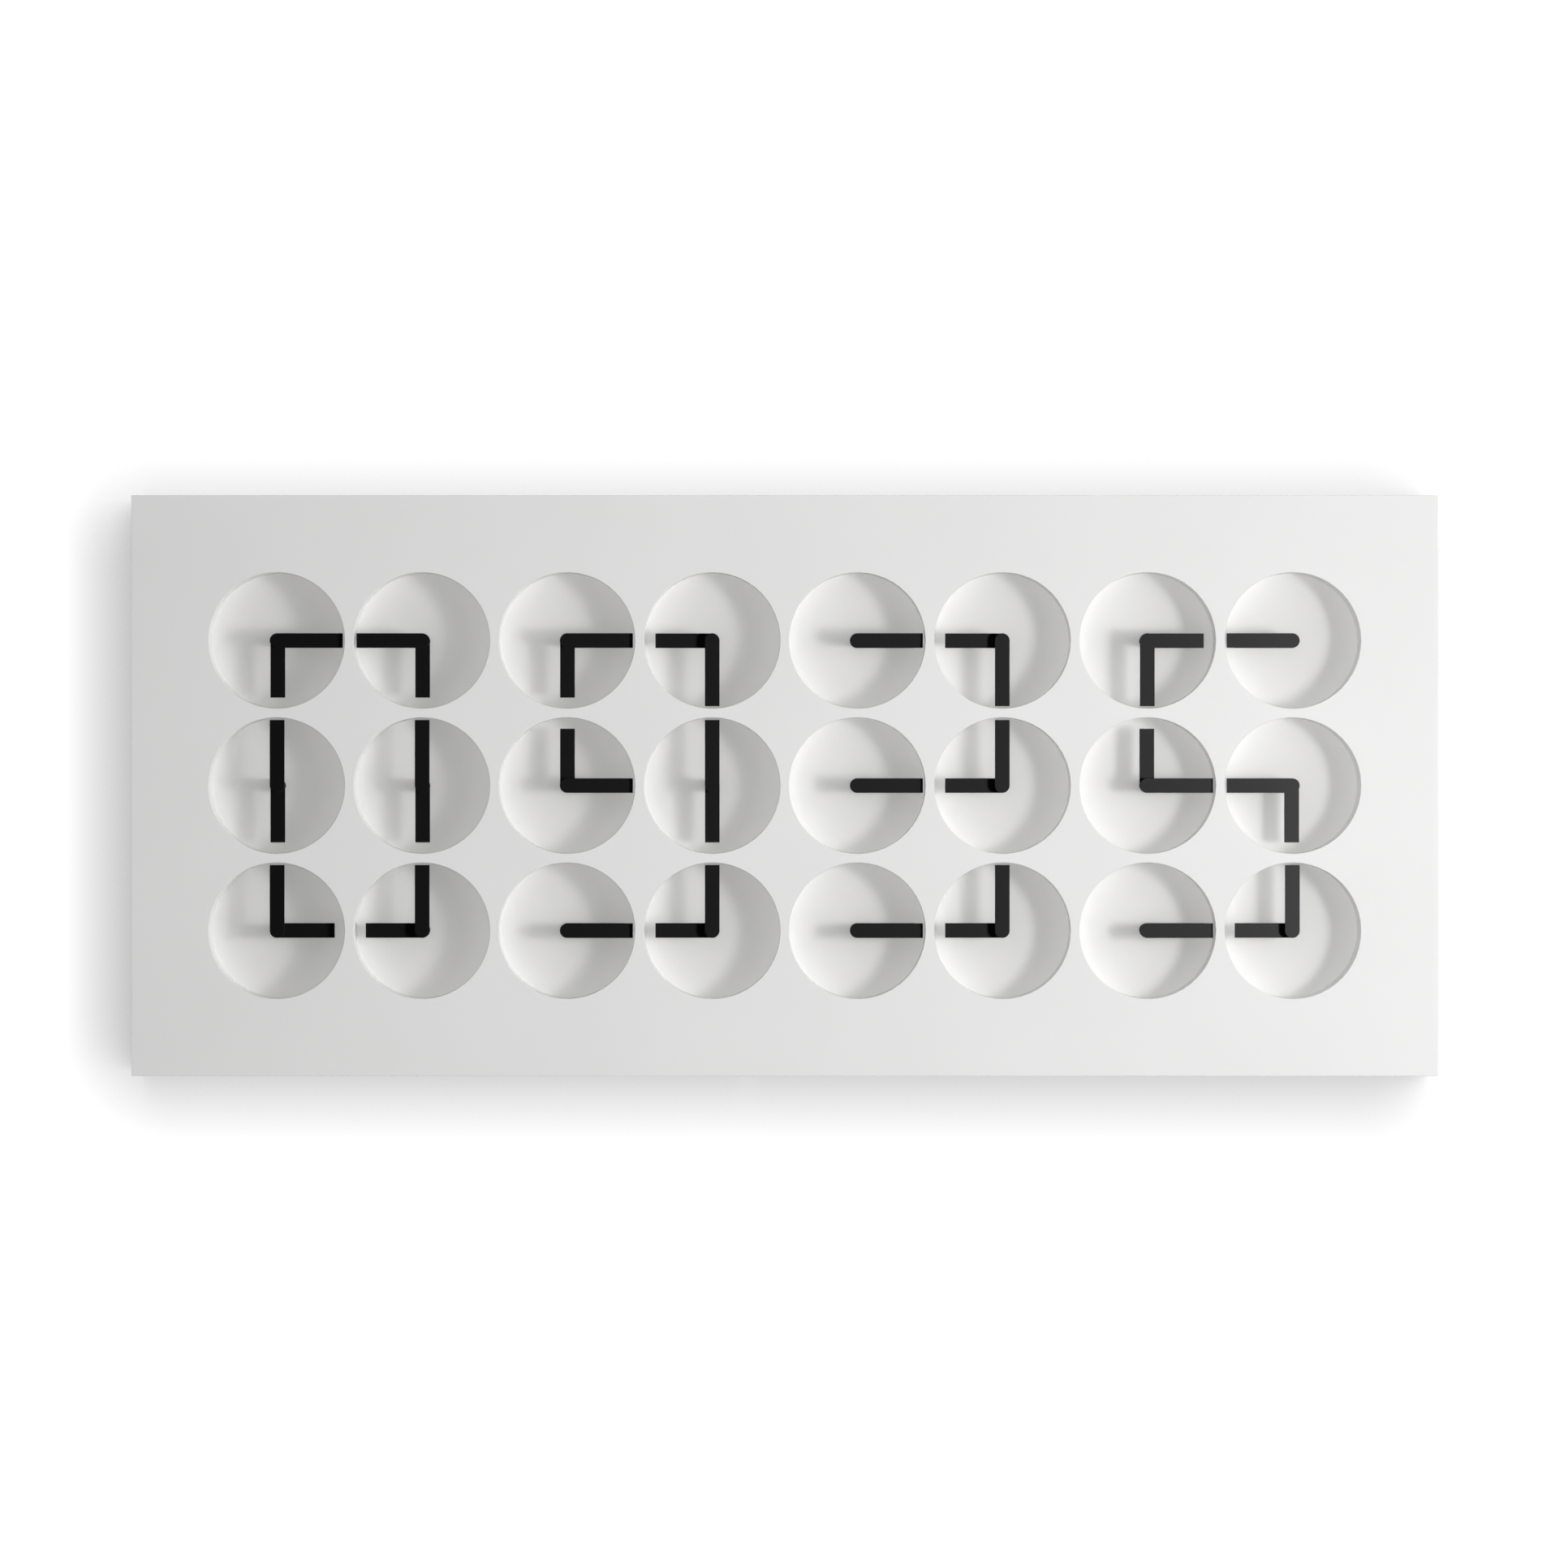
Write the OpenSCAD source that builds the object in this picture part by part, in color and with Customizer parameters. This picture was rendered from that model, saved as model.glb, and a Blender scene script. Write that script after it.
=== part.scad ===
// Kinetic wall clock: a white panel with a grid of small two-handed dials, whose hands together
// spell the time. X runs to the right and Z up. The wall is at Y = 0 and the face looks to -Y.

/* [Time shown] */
// Tens of hours that the hands spell at rest
hour_tens = 0; // [0:1:2]
// Hours that the hands spell at rest
hour_ones = 9; // [0:1:9]
// Tens of minutes that the hands spell at rest
minute_tens = 3; // [0:1:5]
// Minutes that the hands spell at rest
minute_ones = 5; // [0:1:9]

/* [Dial grid] */
// Diameter of each round recess
recess_d = 94; // [84:1:110]
// Land between neighbouring recesses
recess_land = 6; // [4:0.5:20]
// Land between the outer recesses and the edges of the panel
edge_land = 53; // [46:1:100]

/* [Face panel] */
// Thickness of the face panel, which is also the depth of the recesses
panel_t = 20; // [15:0.5:30]
// Width of the eased edges of the face and the recesses
edge_ease = 0.2; // [0.1:0.1:1.2]

/* [Hands] */
// Width of a hand's blade
hand_w = 10; // [6:0.5:14]
// Thickness of a hand's blade
blade_t = 1.5; // [1:0.1:2]
// Gap between the corners of a long hand's tip and the wall of its recess
tip_gap = 1.5; // [1:0.1:4]
// How much shorter the short hand is than the long one
length_step = 6; // [2:0.5:12]
// Depth of the long hand's face behind the panel's face
long_setback = 2.5; // [1:0.1:4]
// Gap between the two blades of a dial
blade_gap = 2.5; // [1.5:0.1:3.5]
// Diameter of the collar behind a long hand
long_collar_d = 7; // [5:0.5:9]
// Diameter of the collar behind a short hand
short_collar_d = 8.5; // [7.5:0.5:10]
// Diameter of the arbor that turns a long hand
arbor_d = 2.4; // [1.6:0.1:3]
// Wall thickness of the sleeve that turns a short hand
sleeve_wall = 1.1; // [0.8:0.1:1.4]

/* [Dial plate and boards] */
// Thickness of the plate that closes the recesses and carries the boards
plate_t = 2; // [1.5:0.1:3]
// Distance of the bosses from the edges of a driver board
boss_inset = 8; // [6:0.5:9]
// Height of the threaded bosses behind the plate
boss_h = 3; // [2.5:0.1:4]
// Diameter of the threaded bosses
boss_d = 6.5; // [5.5:0.1:7]
// Thickness of the circuit boards
board_t = 1.6; // [1:0.1:2]
// Gap between neighbouring driver boards
board_gap = 24; // [10:1:40]
// How far a driver board reaches past its outer motors
board_edge = 8; // [6:1:12]
// Side of a chip on the boards
chip_w = 10; // [6:0.5:12]
// Height of a chip over its board
chip_t = 1.4; // [1:0.1:2]
// Length of a cable header
header_w = 14; // [10:1:18]
// Width of a cable header
header_d = 6; // [5:0.5:7]
// Height of a cable header over its board
header_h = 7; // [5:0.5:8]
// Wall thickness of a cable header
header_wall = 0.8; // [0.6:0.1:1.2]
// Depth of the open well in a cable header
header_well = 5; // [3:0.5:5]
// Distance of a row of components from the edge of its board
part_row = 6; // [5:0.5:8]
// Gap between neighbouring components
part_gap = 2; // [1:0.1:3]

/* [Motors] */
// Width of a motor housing
motor_w = 36; // [30:1:40]
// Height of a motor housing
motor_l = 56; // [46:1:60]
// Thickness of a motor housing
motor_t = 12; // [11:0.5:14]
// Corner radius of a motor housing
motor_corner = 9; // [4:1:14]
// Diameter of the nose that carries the two shafts
nose_d = 9; // [8:0.5:12]
// Length of the sleeve's bearing behind the housing's front
sleeve_bearing = 5; // [3:0.5:6]
// Length of the arbor's bearing behind the sleeve's
arbor_bearing = 4; // [2:0.5:4.5]
// Diameter of the two locating pegs
peg_d = 2; // [1.5:0.1:3]
// Distance of the pegs from the ends of the housing
peg_inset = 4; // [3:0.5:6]
// Thickness of the housing's lid
lid_t = 3; // [2:0.5:4]
// Step between the housing's side and its lid's
lid_inset = 1.2; // [0.5:0.1:2]

/* [Case] */
// Width of the case rails, seen from behind
rail_w = 18; // [14:1:22]
// Depth of the case rails
rail_d = 30; // [28:1:45]
// How far the dial plate reaches under the rails
plate_lap = 8; // [4:1:9]
// How far the rear cover reaches over the rails
cover_lap = 12; // [9:1:13]
// Thickness of the rear cover
cover_t = 1.5; // [1:0.1:2]
// Length of one cooling slot
vent_l = 36; // [20:1:60]
// Width of one cooling slot
vent_w = 3.2; // [2:0.1:5]
// Distance between cooling slots
vent_pitch = 9; // [7:0.5:12]
// Number of slots in each of the four stacks
vent_count = 10; // [4:1:10]
// Distance of each stack of slots from the middle
vent_x = 150; // [80:5:240]
// Distance of the outer slots from the top and bottom edges
vent_drop = 50; // [30:1:60]

/* [Hanging] */
// Distance of the keyholes from the sides of the case
key_inset = 150; // [100:5:240]
// Depth of the keyholes' entries below the top edge
key_drop = 50; // [44:1:60]
// Diameter of a keyhole's entry, which takes the screw's head
key_entry_d = 9; // [8:0.1:11]
// Width of a keyhole's slot, which takes the screw's shank
key_slot_w = 4.6; // [4:0.1:5.2]
// Rise of the slot's end above the entry
key_rise = 10; // [8:0.5:12]

/* [Screws] */
// Diameter of the screws' shanks
screw_d = 3; // [2.5:0.1:3.2]
// Diameter of the screws' heads
screw_head_d = 5.8; // [5:0.1:6]
// Height of the board screws' round heads
screw_head_h = 2; // [1.5:0.1:2.5]
// Rise of the board screws' domed heads over their rims
screw_dome = 1.2; // [0.8:0.1:1.4]
// Depth of the cover screws in the rails
cover_screw_l = 9; // [6:0.5:11]
// Distance of the outer cover screws from the ends of the rails
cover_screw_end = 50; // [40:1:100]
// Width across the corners of the hexagon sockets
socket_d = 2.3; // [1.8:0.1:2.5]
// Depth of the hexagon sockets
socket_deep = 1; // [0.6:0.1:1.2]

/* [Service bay] */
// Width of the open bay in the rear cover
bay_w = 90; // [80:1:120]
// Width of the control board
control_w = 120; // [110:1:160]
// Gap between the control board and its neighbours
control_gap = 3; // [2:0.5:5]
// Length of the clock crystal's can
crystal_w = 11; // [9:0.5:12]
// Width of the clock crystal's can
crystal_d = 4.6; // [4:0.1:5]
// Height of the clock crystal's can
crystal_h = 3.5; // [3:0.1:4]
// Diameter of the smoothing capacitor's can
capacitor_d = 6.3; // [5:0.1:8]
// Height of the smoothing capacitor's can
capacitor_h = 7; // [5:0.5:8]
// Diameter of the coin cell that keeps the time
cell_d = 12.5; // [10:0.5:12.5]
// Height of the coin cell in its holder
cell_h = 3; // [2:0.1:4]
// Distance of the power inlet to the left of the middle, seen from the front
inlet_x = 24; // [16:1:30]
// Width of the power inlet
inlet_w = 9; // [8.5:0.1:11]
// Length of the power inlet
inlet_l = 14; // [12:0.5:16]
// Height of the power inlet over its board
inlet_h = 11; // [10:0.5:12]
// Diameter of the inlet's socket
socket_bore_d = 6.3; // [5.5:0.1:6.5]
// Depth of the inlet's socket
socket_bore_l = 9.5; // [8:0.5:10]
// Diameter of the pin in the socket
contact_d = 2; // [1.6:0.1:2.6]
// Depth of the pin's tip behind the socket's mouth
contact_sink = 1; // [0.5:0.1:2]
// Width of the cable's notch in the bottom rail
notch_w = 10; // [6:0.5:14]
// Depth of the cable's notch from the wall
notch_d = 12; // [8:0.5:16]
// Distance of the first push button to the right of the middle
button_x = 12; // [8:1:16]
// Diameter of the push buttons' caps
button_d = 8; // [6:0.5:9]
// Width of the rim round the dish in a button's cap
button_rim = 0.8; // [0.5:0.1:1.5]
// Depth of the dish in a button's cap
button_dish = 0.5; // [0.3:0.1:1]
// Distance between the two push buttons
button_pitch = 16; // [12:1:18]
// Travel of a push button
button_travel = 1.5; // [1:0.1:2]
// Distance of the buttons' caps from the wall
button_sink = 4; // [3:0.5:6]
// Side of a button's switch
switch_w = 8; // [7:0.5:9]
// Height of a button's switch over its board
switch_h = 6; // [5:0.5:7]
// Diameter of a button's stem
stem_d = 3.4; // [3:0.1:4]
// How far a stem reaches into its switch at rest
stem_reach = 2.5; // [2:0.1:2.8]

/* [Fits] */
// Running clearance all round a shaft or a stem
running_gap = 0.06; // [0.03:0.01:0.1]
// Gap between a turning part and what it passes
turn_gap = 0.6; // [0.5:0.1:0.8]
// Clearance round a part that drops into its seat
seat_gap = 0.3; // [0.1:0.1:0.5]
// Thickness of a glued or riveted joint
bond_gap = 0.05; // [0.03:0.01:0.1]

/* [Hidden] */
$fn = 96;
columns = 8;
rows = 3;
digit_columns = 2;
// How far a cut runs past the surface that it opens
through = 1;

// Long and short hand of a digit's six dials, row by row: N, E, S and W are directions on the face,
// and X is the slanting place of a dial that isn't needed.
GLYPHS = [
  ["ES", "WS", "NS", "NS", "NE", "NW"],
  ["XX", "SS", "XX", "NS", "XX", "NN"],
  ["EE", "SW", "SE", "NW", "NE", "WW"],
  ["EE", "SW", "EE", "NW", "EE", "NW"],
  ["SS", "SS", "NE", "NS", "XX", "NN"],
  ["SE", "WW", "EN", "WS", "EE", "NW"],
  ["SE", "WW", "NS", "WS", "NE", "NW"],
  ["EE", "SW", "XX", "NS", "XX", "NN"],
  ["SE", "SW", "NE", "NW", "NE", "NW"],
  ["ES", "SW", "EN", "NS", "EE", "NW"]
];
COMPASS = "ENWS";
quarter_turn = 90;
parked_turn = 225;
shown_digits = [hour_tens, hour_ones, minute_tens, minute_ones];

dial_pitch = recess_d + recess_land;
edge_margin = recess_d / 2 + edge_land;
case_w = (columns - 1) * dial_pitch + 2 * edge_margin;
case_h = (rows - 1) * dial_pitch + 2 * edge_margin;
case_d = panel_t + rail_d;

// Depths behind the panel's face
long_back = long_setback + blade_t;
short_front = long_back + blade_gap;
short_back = short_front + blade_t;
plate_back = panel_t + plate_t;
board_front = plate_back + boss_h;
board_back = board_front + board_t;
sleeve_end = board_back + sleeve_bearing;
arbor_end = sleeve_end + arbor_bearing;

long_hand_l = sqrt(pow(recess_d / 2 - tip_gap, 2) - pow(hand_w / 2, 2));
short_hand_l = long_hand_l - length_step;
sleeve_bore_d = arbor_d + 2 * running_gap;
sleeve_d = sleeve_bore_d + 2 * sleeve_wall;
plate_hole_d = sleeve_d + 2 * turn_gap;
peg_rise = motor_l / 2 - peg_inset;

plate_w = case_w - 2 * (rail_w - plate_lap);
plate_h = case_h - 2 * (rail_w - plate_lap);
cover_w = case_w - 2 * (rail_w - cover_lap);
cover_h = case_h - 2 * (rail_w - cover_lap);
screw_inset = rail_w - cover_lap / 2;
screw_steps = 2;
screw_pitch = (case_w / 2 - cover_screw_end) / screw_steps;

driver_w = digit_columns * dial_pitch - board_gap;
driver_h = (rows - 1) * dial_pitch + motor_l + 2 * board_edge;
control_top = -driver_h / 2 - control_gap;
control_bottom = -case_h / 2 + rail_w + control_gap;
control_h = control_top - control_bottom;
control_y = (control_top + control_bottom) / 2;
inlet_y = control_top - inlet_l / 2;
part_y = control_top - part_row;
crystal_x = -inlet_x + inlet_w / 2 + part_gap + crystal_w / 2;
capacitor_x = crystal_x + crystal_w / 2 + part_gap + capacitor_d / 2;
header_x = capacitor_x + capacitor_d / 2 + part_gap + header_w / 2;
cell_x = button_x + button_pitch + switch_w / 2 + part_gap + cell_d / 2;
stem_front = board_back + switch_h - stem_reach;
cap_front = board_back + switch_h + button_travel + seat_gap;
cap_back = case_d - button_sink;
dish_r = bowl_r(button_d - 2 * button_rim, button_dish);
dome_r = bowl_r(screw_head_d, screw_dome);

// Radius of the sphere of which a bowl has the given width and depth
function bowl_r(width, depth) = (pow(width / 2, 2) + pow(depth, 2)) / (2 * depth);
function dial_x(column) = (column - (columns + 1) / 2) * dial_pitch;
function dial_y(row) = ((rows + 1) / 2 - row) * dial_pitch;
function dial_letters(row, column) =
  let (digit = shown_digits[floor((column - 1) / digit_columns)])
  GLYPHS[digit][(row - 1) * digit_columns + (column - 1) % digit_columns];
function bearing(letter) =
  let (found = search(letter, COMPASS))
  len(found) > 0 ? found[0] * quarter_turn : parked_turn;
function long_name(row, column) = str("long_hand_r", row, "c", column);
function short_name(row, column) = str("short_hand_r", row, "c", column);
function driver_x(board) = (board - (len(shown_digits) + 1) / 2) * digit_columns * dial_pitch;

// Front-view axes on a plane behind the face: X to the right, Y up and Z to the viewer
module behind_face(depth) {
  translate([0, depth - case_d, 0])
    rotate([90, 0, 0])
      children();
}

module at_dial(row, column) {
  translate([dial_x(column), dial_y(row), 0])
    children();
}

module at_every_dial() {
  for (row = [1:rows], column = [1:columns])
    at_dial(row, column) children();
}

module at_driver_bosses() {
  for (board = [1:len(shown_digits)], side = [-1, 1], level = [-1:1])
    translate([
      driver_x(board) + side * (driver_w / 2 - boss_inset),
      level * (driver_h / 2 - boss_inset),
      0
    ])
      children();
}

module at_control_bosses() {
  for (side = [-1, 1], level = [-1, 1])
    translate([
      side * (control_w / 2 - boss_inset),
      control_y + level * (control_h / 2 - boss_inset),
      0
    ])
      children();
}

module at_bosses() {
  at_driver_bosses() children();
  at_control_bosses() children();
}

module at_cover_screws() {
  for (step = [-screw_steps:screw_steps], side = [-1, 1])
    if (step != 0 || side > 0)
      translate([step * screw_pitch, side * (case_h / 2 - screw_inset), 0])
        children();
  for (side = [-1, 1])
    translate([side * (case_w / 2 - screw_inset), 0, 0])
      children();
}

module round_square(w, h, r) {
  square([w - 2 * r, h], center = true);
  square([w, h - 2 * r], center = true);
  for (side = [-1, 1], level = [-1, 1])
    translate([side * (w / 2 - r), level * (h / 2 - r)])
      circle(r);
}

module slot(length, width) {
  square([length - width, width], center = true);
  for (side = [-1, 1])
    translate([side * (length - width) / 2, 0])
      circle(d = width);
}

// A bevel along one straight edge of the face
module edge_bevel(length) {
  rotate([45, 0, 0])
    cube([length, edge_ease * sqrt(2), edge_ease * sqrt(2)], center = true);
}

module front_panel() {
  color("whitesmoke")
    behind_face(panel_t)
      difference() {
        linear_extrude(panel_t)
          difference() {
            square([case_w, case_h], center = true);
            at_every_dial() circle(d = recess_d);
          }
        at_every_dial()
          translate([0, 0, panel_t - edge_ease])
            cylinder(h = 2 * edge_ease, d1 = recess_d, d2 = recess_d + 4 * edge_ease);
        for (level = [-1, 1])
          translate([0, level * case_h / 2, panel_t])
            edge_bevel(2 * case_w);
        for (side = [-1, 1])
          translate([side * case_w / 2, 0, panel_t])
            rotate(quarter_turn)
              edge_bevel(2 * case_h);
      }
}

// A rail with its outer side on the X axis, and a mitre at each end
module rail(length) {
  inner = length / 2 - rail_w;
  outer = length / 2 - bond_gap;
  plate_seat = rail_w - plate_lap - seat_gap;
  cover_seat = rail_w - cover_lap - seat_gap;
  intersection() {
    rotate([90, 0, 90])
      linear_extrude(length, center = true)
        polygon([
          [0, 0],
          [-plate_seat, 0],
          [-plate_seat, -plate_t],
          [-rail_w, -plate_t],
          [-rail_w, cover_t - rail_d],
          [-cover_seat, cover_t - rail_d],
          [-cover_seat, -rail_d],
          [0, -rail_d]
        ]);
    translate([0, 0, -rail_d])
      linear_extrude(rail_d)
        polygon([[-outer, 0], [outer, 0], [inner - bond_gap, -rail_w], [bond_gap - inner, -rail_w]]);
  }
}

module side_frame() {
  color("whitesmoke")
    behind_face(panel_t)
      difference() {
        for (side = [0:3])
          rotate(side * quarter_turn)
            translate([0, (side % 2 == 0 ? case_h : case_w) / 2, 0])
              rail(side % 2 == 0 ? case_w : case_h);
        at_cover_screws()
          translate([0, 0, -rail_d])
            countersunk(bond_gap, through, cover_t + cover_screw_l + seat_gap);
        translate([-inlet_x - notch_w / 2, -case_h / 2 - through, -rail_d - through])
          cube([notch_w, rail_w + 2 * through, notch_d + through]);
      }
}

module dial_plate() {
  color("white")
    behind_face(plate_back)
      difference() {
        union() {
          linear_extrude(plate_t)
            difference() {
              square([plate_w, plate_h], center = true);
              at_every_dial() circle(d = plate_hole_d);
            }
          at_bosses()
            translate([0, 0, -boss_h])
              cylinder(h = boss_h + plate_t / 2, d = boss_d);
        }
        at_bosses()
          translate([0, 0, -boss_h - through])
            cylinder(h = boss_h + through, d = screw_d + 2 * bond_gap);
      }
}

module motor() {
  nose_l = board_back - plate_back - seat_gap;
  difference() {
    union() {
      translate([0, 0, lid_t - motor_t])
        linear_extrude(motor_t - lid_t)
          round_square(motor_w, motor_l, motor_corner);
      translate([0, 0, -motor_t])
        linear_extrude(lid_t + bond_gap)
          round_square(motor_w - 2 * lid_inset, motor_l - 2 * lid_inset, motor_corner - lid_inset);
      translate([0, 0, -bond_gap])
        cylinder(h = nose_l + bond_gap, d = nose_d);
      for (level = [-1, 1])
        translate([0, level * peg_rise, -bond_gap])
          cylinder(h = board_t + bond_gap, d = peg_d);
    }
    translate([0, 0, -sleeve_bearing - seat_gap])
      cylinder(h = sleeve_bearing + nose_l + through, d = sleeve_d + 2 * running_gap);
    translate([0, 0, -sleeve_bearing - arbor_bearing - 2 * seat_gap])
      cylinder(h = arbor_bearing + through, d = sleeve_bore_d);
  }
}

module stepper_motors() {
  color("dimgray")
    behind_face(board_back)
      at_every_dial() motor();
}

// An open box for a flat cable's plug, standing on the back of a board
module cable_header() {
  difference() {
    translate([-header_w / 2, -header_d / 2, -header_h])
      cube([header_w, header_d, header_h + board_t / 2]);
    translate([header_wall - header_w / 2, header_wall - header_d / 2, -header_h - through])
      cube([header_w - 2 * header_wall, header_d - 2 * header_wall, header_well + through]);
  }
}

module driver_board() {
  difference() {
    union() {
      linear_extrude(board_t)
        square([driver_w, driver_h], center = true);
      translate([0, part_row - driver_h / 2, 0])
        cable_header();
      for (level = [-1:1])
        translate([-chip_w / 2, level * dial_pitch - chip_w / 2, -chip_t])
          cube([chip_w, chip_w, chip_t + board_t / 2]);
    }
    for (side = [-1, 1], level = [-1:1])
      translate([side * dial_pitch / 2, level * dial_pitch, -through]) {
        cylinder(h = board_t + 2 * through, d = nose_d + 2 * seat_gap);
        for (end = [-1, 1])
          translate([0, end * peg_rise, 0])
            cylinder(h = board_t + 2 * through, d = peg_d + 2 * bond_gap);
      }
  }
}

module driver_boards() {
  color("darkgreen")
    behind_face(board_back)
      difference() {
        for (board = [1:len(shown_digits)])
          translate([driver_x(board), 0, 0])
            driver_board();
        at_driver_bosses()
          translate([0, 0, -through])
            cylinder(h = board_t + 2 * through, d = screw_d + 2 * seat_gap);
      }
}

module board_screw() {
  difference() {
    union() {
      intersection() {
        translate([0, 0, -screw_head_h])
          cylinder(h = screw_head_h, d = screw_head_d);
        translate([0, 0, dome_r - screw_head_h])
          sphere(dome_r);
      }
      cylinder(h = board_t + boss_h - seat_gap, d = screw_d);
    }
    translate([0, 0, -screw_head_h - through])
      cylinder(h = socket_deep + through, d = socket_d, $fn = 6);
  }
}

module board_screws() {
  color("silver")
    behind_face(board_back)
      at_bosses() board_screw();
}

module at_buttons() {
  for (step = [0, 1])
    at_button(step) children();
}

module at_button(step) {
  translate([button_x + step * button_pitch, control_y, 0])
    children();
}

module control_board() {
  color("darkgreen")
    behind_face(board_back)
      difference() {
        union() {
          translate([0, control_y, 0])
            linear_extrude(board_t)
              square([control_w, control_h], center = true);
          at_buttons()
            translate([-switch_w / 2, -switch_w / 2, -switch_h])
              cube([switch_w, switch_w, switch_h + board_t / 2]);
          translate([button_x - button_pitch - chip_w / 2, control_y - chip_w / 2, -chip_t])
            cube([chip_w, chip_w, chip_t + board_t / 2]);
          translate([crystal_x, part_y, -crystal_h])
            linear_extrude(crystal_h + board_t / 2)
              slot(crystal_w, crystal_d);
          translate([capacitor_x, part_y, -capacitor_h])
            cylinder(h = capacitor_h + board_t / 2, d = capacitor_d);
          translate([header_x, part_y, 0])
            cable_header();
          translate([cell_x, control_y, -cell_h])
            cylinder(h = cell_h + board_t / 2, d = cell_d);
        }
        at_buttons()
          translate([0, 0, -switch_h - through])
            cylinder(h = switch_h + through, d = stem_d + 2 * running_gap);
        at_control_bosses()
          translate([0, 0, -through])
            cylinder(h = board_t + 2 * through, d = screw_d + 2 * seat_gap);
      }
}

module power_inlet() {
  socket_depth = inlet_h / 2;
  color("dimgray")
    behind_face(board_back)
      translate([-inlet_x, inlet_y, 0]) {
        difference() {
          translate([-inlet_w / 2, -inlet_l / 2, -inlet_h])
            cube([inlet_w, inlet_l, inlet_h]);
          translate([0, socket_bore_l - inlet_l / 2, -socket_depth])
            rotate([90, 0, 0])
              cylinder(h = socket_bore_l + through, d = socket_bore_d);
        }
        translate([0, socket_bore_l - inlet_l / 2 + contact_sink, -socket_depth])
          rotate([90, 0, 0])
            cylinder(h = socket_bore_l, d = contact_d);
      }
}

module button() {
  translate([0, 0, board_back - cap_back])
    difference() {
      cylinder(h = cap_back - cap_front, d = button_d);
      translate([0, 0, button_dish - dish_r])
        sphere(dish_r);
    }
  translate([0, 0, board_back - cap_front - bond_gap])
    cylinder(h = cap_front - stem_front + bond_gap, d = stem_d);
}

module mode_button() {
  color("gainsboro")
    behind_face(board_back)
      at_button(0) button();
}

module set_button() {
  color("gainsboro")
    behind_face(board_back)
      at_button(1) button();
}

module keyhole() {
  circle(d = key_entry_d);
  translate([0, key_rise / 2])
    square([key_slot_w, key_rise], center = true);
  translate([0, key_rise])
    circle(d = key_slot_w);
}

module rear_cover() {
  bay_h = control_top + cover_h / 2;
  color("lightgray")
    behind_face(case_d)
      difference() {
        linear_extrude(cover_t)
          difference() {
            square([cover_w, cover_h], center = true);
            translate([-bay_w / 2, -cover_h / 2 - through])
              square([bay_w, bay_h + through]);
            for (side = [-1, 1])
              translate([side * (case_w / 2 - key_inset), case_h / 2 - key_drop])
                keyhole();
            for (side = [-1, 1], level = [-1, 1], step = [0:vent_count - 1])
              translate([side * vent_x, level * (case_h / 2 - vent_drop - step * vent_pitch)])
                slot(vent_l, vent_w);
          }
        at_cover_screws()
          countersunk(bond_gap, through, cover_t + through);
      }
}

// A flat-headed screw's form, from the wall plane inwards, with its cone carried on by a lead
module countersunk(room, lead, length) {
  head_r = screw_head_d / 2 + room;
  shank_r = screw_d / 2 + room;
  rotate_extrude()
    polygon([
      [0, -lead],
      [head_r + lead, -lead],
      [shank_r, head_r - shank_r],
      [shank_r, length],
      [0, length]
    ]);
}

module cover_screws() {
  color("silver")
    behind_face(case_d)
      at_cover_screws()
        difference() {
          countersunk(0, 0, cover_t + cover_screw_l);
          translate([0, 0, -through])
            cylinder(h = socket_deep + through, d = socket_d, $fn = 6);
        }
}

// A blade that points along X from its round end on the axis, with its back on the given plane
module blade(length, hole_d) {
  linear_extrude(blade_t)
    difference() {
      union() {
        circle(d = hand_w);
        translate([0, -hand_w / 2])
          square([length, hand_w]);
      }
      if (hole_d > 0)
        circle(d = hole_d);
    }
}

module long_hand(row, column) {
  color("black")
    behind_face(0) at_dial(row, column) {
      translate([0, 0, -long_back])
        rotate(bearing(dial_letters(row, column)[0]))
          blade(long_hand_l, 0);
      translate([0, 0, -arbor_end])
        cylinder(h = arbor_end - long_back - bond_gap, d = arbor_d);
      translate([0, 0, turn_gap - short_front])
        cylinder(h = blade_gap - turn_gap - bond_gap, d = long_collar_d);
    }
}

module short_hand(row, column) {
  color("black")
    behind_face(0) at_dial(row, column) {
      translate([0, 0, -short_back])
        rotate(bearing(dial_letters(row, column)[1]))
          blade(short_hand_l, sleeve_d);
      difference() {
        union() {
          translate([0, 0, -sleeve_end])
            cylinder(h = sleeve_end - short_back - bond_gap, d = sleeve_d);
          translate([0, 0, turn_gap - panel_t])
            cylinder(h = panel_t - turn_gap - short_back - bond_gap, d = short_collar_d);
        }
        translate([0, 0, -sleeve_end - through])
          cylinder(h = sleeve_end, d = sleeve_bore_d);
      }
    }
}

front_panel();
side_frame();
dial_plate();
stepper_motors();
driver_boards();
board_screws();
control_board();
power_inlet();
mode_button();
set_button();
rear_cover();
cover_screws();
for (row = [1:rows], column = [1:columns]) {
  long_hand(row, column);
  short_hand(row, column);
}
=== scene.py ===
import math

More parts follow.
